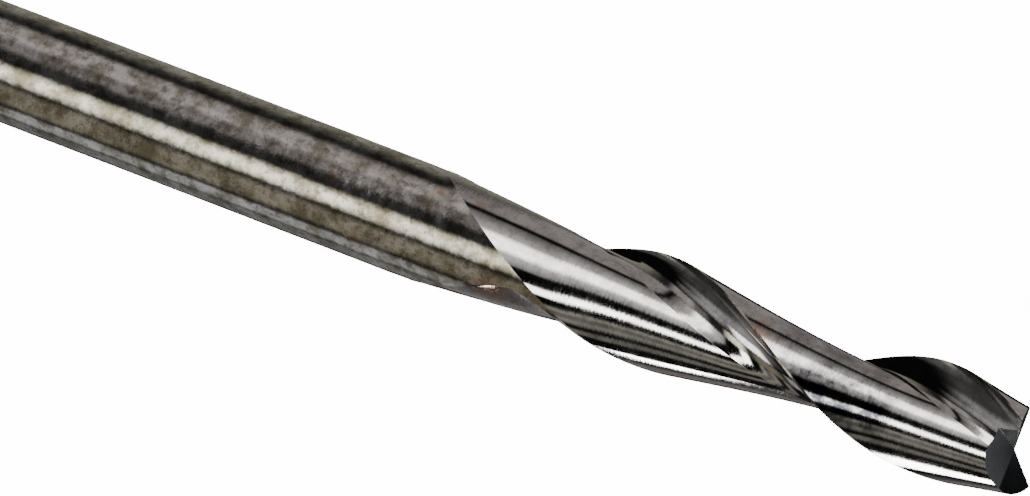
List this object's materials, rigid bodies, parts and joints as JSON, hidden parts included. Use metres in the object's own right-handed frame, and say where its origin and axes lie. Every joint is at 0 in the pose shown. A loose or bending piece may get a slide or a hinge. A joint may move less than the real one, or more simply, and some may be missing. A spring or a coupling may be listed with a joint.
{
  "type": "two-flute end mill",
  "caption": "Slender solid carbide end mill with spiral flutes, a plain round shank and a fishtail cutting end.",
  "frame": {"origin": "centre of the flat end of the shank", "axes": "+Z along the cutter's axis, from the shank's end to the cutting tip; +X towards one cutting corner at the tip"},
  "size_m": [0.0032, 0.0032, 0.038],
  "materials": {
    "carbide": "ground tungsten carbide, stained on the shank and bright in the flutes"
  },
  "bodies": {
    "root": {"milling_cutter": "carbide"}
  },
  "joints": []
}
